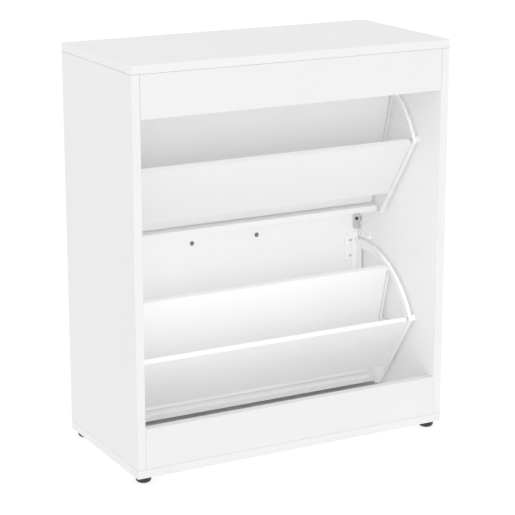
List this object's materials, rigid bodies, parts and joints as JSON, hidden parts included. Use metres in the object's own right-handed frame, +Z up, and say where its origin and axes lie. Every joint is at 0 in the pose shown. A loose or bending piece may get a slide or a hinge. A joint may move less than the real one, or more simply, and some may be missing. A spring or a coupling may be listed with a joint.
{
  "type": "shoe cabinet",
  "caption": "White shoe cabinet on glide feet: an open-backed board carcass with flip-down doors, each carrying a tilting bin with moulded side brackets, a divider and a rear board.",
  "frame": {"origin": "on the floor under the centre of the outline, handles included", "axes": "+Z up, the doors face -Y, the open back faces +Y, -X is the left side for someone facing the doors"},
  "size_m": [0.728, 0.37, 0.855],
  "materials": {
    "white_board": "matt white melamine with a fine orange-peel texture",
    "white_plastic": "satin moulded white plastic",
    "black_plastic": "matt black moulded plastic",
    "plate_steel": "zinc-plated sheet steel",
    "pin_steel": "turned, zinc-plated steel",
    "screw_steel": "zinc-plated screw steel",
    "handle_steel": "brushed, satin",
    "zinc": "bare die-cast zinc",
    "rubber": "black rubber",
    "beech": "plain beech"
  },
  "bodies": {
    "carcass": {"top_panel": "white_board", "bottom_panel": "white_board", "side_panel_left": "white_board", "side_panel_right": "white_board", "rear_top_rail": "white_board", "rear_bottom_rail": "white_board", "dowels": "beech", "cam_bolts": "pin_steel", "cam_locks": "zinc", "foot_front_left": "black_plastic", "foot_front_right": "black_plastic", "foot_rear_left": "black_plastic", "foot_rear_right": "black_plastic", "foot_screws": "screw_steel", "pivot_plate_lower_left": "plate_steel", "stop_angle_lower_left": "plate_steel", "stop_block_lower_left": "white_plastic", "pivot_plate_lower_right": "plate_steel", "stop_angle_lower_right": "plate_steel", "stop_block_lower_right": "white_plastic", "pivot_plate_upper_left": "plate_steel", "stop_angle_upper_left": "plate_steel", "stop_block_upper_left": "white_plastic", "pivot_plate_upper_right": "plate_steel", "stop_angle_upper_right": "plate_steel", "stop_block_upper_right": "white_plastic", "pivot_pins": "pin_steel", "pivot_plate_screws": "screw_steel", "stop_angle_screws": "screw_steel", "stop_buffers": "rubber", "stop_block_screws": "screw_steel"},
    "lower_flap": {"lower_door": "white_board", "lower_handle": "handle_steel", "lower_handle_screws": "screw_steel", "lower_bracket_left": "white_plastic", "lower_bracket_right": "white_plastic", "lower_bracket_screws": "screw_steel", "lower_rear_board": "white_board", "lower_divider_board": "white_board", "lower_bottom_board": "white_board", "lower_board_screws": "screw_steel"},
    "upper_flap": {"upper_door": "white_board", "upper_handle": "handle_steel", "upper_handle_screws": "screw_steel", "upper_bracket_left": "white_plastic", "upper_bracket_right": "white_plastic", "upper_bracket_screws": "screw_steel", "upper_rear_board": "white_board", "upper_divider_board": "white_board", "upper_bottom_board": "white_board", "upper_board_screws": "screw_steel"}
  },
  "joints": [
    {"name": "lower_flap_tilt", "type": "hinge", "parent": "carcass", "child": "lower_flap", "pos_m": [0, -0.126, 0.113], "axis": [1, 0, 0], "range_deg": [0, 52]},
    {"name": "upper_flap_tilt", "type": "hinge", "parent": "carcass", "child": "upper_flap", "pos_m": [0, -0.126, 0.512], "axis": [1, 0, 0], "range_deg": [0, 52]}
  ]
}
